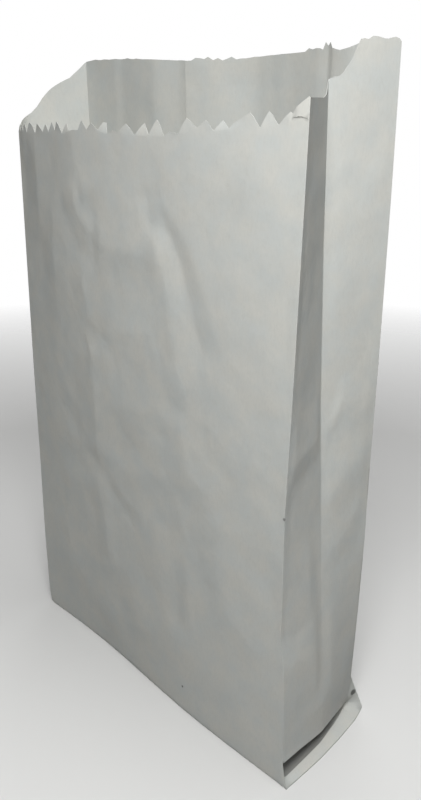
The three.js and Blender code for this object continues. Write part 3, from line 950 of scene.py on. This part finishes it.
def paper_material():
    material = bpy.data.materials.new("paper")
    material.use_nodes = True
    tree = material.node_tree
    shader = tree.nodes["Principled BSDF"]
    place = tree.nodes.new("ShaderNodeTexCoord").outputs["Object"]

    clouds = ramp(tree, noise_texture(tree, place, *CLOUDS), *CLOUD_SPREAD)
    colour = mixed(tree, clouds, PAPER_COOL, PAPER_WARM)
    stretch = tree.nodes.new("ShaderNodeMapping")
    stretch.inputs["Scale"].default_value = FIBRE_STRETCH
    tree.links.new(place, stretch.inputs["Vector"])
    fibres = noise_texture(tree, stretch.outputs["Vector"], *FIBRES)
    fibres = ramp(tree, fibres, *FIBRE_SPREAD)
    colour = mixed(tree, fibres, colour, FIBRE_DARK)

    for spot, radius, strength in MARKS:
        away = tree.nodes.new("ShaderNodeVectorMath")
        away.operation = "DISTANCE"
        away.inputs[1].default_value = in_frame(spot)
        tree.links.new(place, away.inputs[0])
        mask = ramp(tree, away.outputs["Value"], radius * MARK_CORE * MM, radius * MM, strength, 0.0)
        colour = mixed(tree, mask, colour, MARK_COLOUR)
    # Painted shade: the paper's colour is darkened inside the tuck, where the crevice lies in shade.
    painted_tuck_shade = tree.nodes.new("ShaderNodeAttribute")
    painted_tuck_shade.attribute_name = "painted_tuck_shade"
    painted_shade_amount = ramp(tree, painted_tuck_shade.outputs["Fac"], 0.0, 1.0, 0.0, PAINTED_TUCK_SHADE_AMOUNT)
    colour = mixed(tree, painted_shade_amount, colour, PAINTED_TUCK_SHADE_COLOUR)
    tree.links.new(colour, shader.inputs["Base Color"])

    grain = ramp(tree, noise_texture(tree, place, *GRAIN), *GRAIN_SPREAD)
    tree.links.new(grain, shader.inputs["Roughness"])
    shader.inputs["Specular IOR Level"].default_value = GLOSS

    tooth = noise_texture(tree, place, *TOOTH)
    cockle = noise_texture(tree, place, *COCKLE)
    fine = node(tree, "ShaderNodeBump", **TOOTH_BUMP)
    tree.links.new(tooth, fine.inputs["Height"])
    broad = node(tree, "ShaderNodeBump", **COCKLE_BUMP)
    tree.links.new(cockle, broad.inputs["Height"])
    tree.links.new(fine.outputs["Normal"], broad.inputs["Normal"])
    tree.links.new(broad.outputs["Normal"], shader.inputs["Normal"])
    return material


paper = paper_material()
sheet = bag_sheet(paper)
flap = bottom_flap(paper)
for piece in (sheet, flap):
    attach(piece, "root")
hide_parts("bag")

# ---------- studio

FLOOR_RADIUS = 2.4  # metres
FLOOR_SIDES = 96
FLOOR_SOLID = 0.45  # the floor fades into the white surround beyond this
FLOOR_GONE = 1.2  # and has gone at this
FLOOR_ROUGHNESS = 0.9
FLOOR_GLOSS = 0.15
FLOOR_COLOUR = (0.72, 0.72, 0.71, 1)
FLOOR_BOUNCE = (0.45, 0.45, 0.45, 1)  # what the light that reaches the bag from the floor sees
SURROUND_SEEN = 1.0
SURROUND_LIGHT = 0.02


def floor_material():
    material = bpy.data.materials.new("pale_floor")
    material.use_nodes = True
    tree = material.node_tree
    shader = tree.nodes["Principled BSDF"]
    rays = tree.nodes.new("ShaderNodeLightPath").outputs["Is Camera Ray"]
    tree.links.new(mixed(tree, rays, FLOOR_BOUNCE, FLOOR_COLOUR), shader.inputs["Base Color"])
    shader.inputs["Roughness"].default_value = FLOOR_ROUGHNESS
    shader.inputs["Specular IOR Level"].default_value = FLOOR_GLOSS
    place = tree.nodes.new("ShaderNodeTexCoord").outputs["Object"]
    length = tree.nodes.new("ShaderNodeVectorMath")
    length.operation = "LENGTH"
    tree.links.new(place, length.inputs[0])
    fade = ramp(tree, length.outputs["Value"], FLOOR_SOLID, FLOOR_GONE, 1.0, 0.0)
    tree.links.new(fade, shader.inputs["Alpha"])
    return material


def make_floor():
    mesh = bpy.data.meshes.new("floor")
    ring = [(FLOOR_RADIUS * math.cos(a), FLOOR_RADIUS * math.sin(a), 0.0)
            for a in np.linspace(0, 2 * math.pi, FLOOR_SIDES, endpoint=False)]
    mesh.from_pydata(ring, [], [tuple(range(FLOOR_SIDES))])
    mesh.materials.append(floor_material())
    floor = bpy.data.objects.new("floor", mesh)
    bpy.context.scene.collection.objects.link(floor)


def make_world():
    world = bpy.data.worlds.new("studio")
    bpy.context.scene.world = world
    world.use_nodes = True
    tree = world.node_tree
    tree.nodes.clear()
    seen = node(tree, "ShaderNodeBackground", Color=(1, 1, 1, 1), Strength=SURROUND_SEEN)
    light = node(tree, "ShaderNodeBackground", Color=(1, 1, 0.98, 1), Strength=SURROUND_LIGHT)
    rays = tree.nodes.new("ShaderNodeLightPath")
    choose = tree.nodes.new("ShaderNodeMixShader")
    output = tree.nodes.new("ShaderNodeOutputWorld")
    tree.links.new(rays.outputs["Is Camera Ray"], choose.inputs[0])
    tree.links.new(light.outputs[0], choose.inputs[1])
    tree.links.new(seen.outputs[0], choose.inputs[2])
    tree.links.new(choose.outputs[0], output.inputs["Surface"])


def soft_light(name, place, target, size, power):
    """A square soft light at place, turned to target; both in the bag's own measures."""
    data = bpy.data.lights.new(name, "AREA")
    data.size = size * MM
    data.energy = power
    lamp = bpy.data.objects.new(name, data)
    lamp.location = in_frame(place)
    lamp.visible_camera = False
    lamp.rotation_euler = (in_frame(target) - in_frame(place)).to_track_quat("-Z", "Y").to_euler()
    bpy.context.scene.collection.objects.link(lamp)


make_floor()
make_world()
soft_light("key", (303, -288, 505), (20, -20, 210), 180, 1.32)
soft_light("high_key", (420, -420, 900), (0, 0, 200), 500, 4.4)
soft_light("overhead", (100, 100, 1500), (0, 0, 0), 700, 8.5)
soft_light("rear_fill", (-620, 720, 640), (0, 30, 180), 600, 1.6)

# ---------- camera

CAMERA_PLACE = (298.6, -271.4, 321.0)
CAMERA_YAW = math.radians(-45.1)  # from +Y towards +X
CAMERA_PITCH = math.radians(19.27)  # below the horizon
CAMERA_FOCAL_PIXELS = 723.6
IMAGE_LONG_SIDE = 800
SENSOR = 36.0


def make_camera():
    data = bpy.data.cameras.new("camera")
    data.sensor_width = SENSOR
    data.lens = CAMERA_FOCAL_PIXELS * SENSOR / IMAGE_LONG_SIDE
    data.clip_start = 0.01
    data.clip_end = 20
    camera = bpy.data.objects.new("camera", data)
    ahead = Vector((math.sin(CAMERA_YAW) * math.cos(CAMERA_PITCH),
                    math.cos(CAMERA_YAW) * math.cos(CAMERA_PITCH), -math.sin(CAMERA_PITCH)))
    right = Vector((math.cos(CAMERA_YAW), -math.sin(CAMERA_YAW), 0))
    up = right.cross(ahead)
    turn = Matrix((right, up, -ahead)).transposed()
    camera.matrix_world = Matrix.Translation(in_frame(CAMERA_PLACE)) @ turn.to_4x4()
    bpy.context.scene.collection.objects.link(camera)
    bpy.context.scene.camera = camera


make_camera()
bpy.context.scene.view_settings.view_transform = "Standard"

bpy.context.view_layer.update()
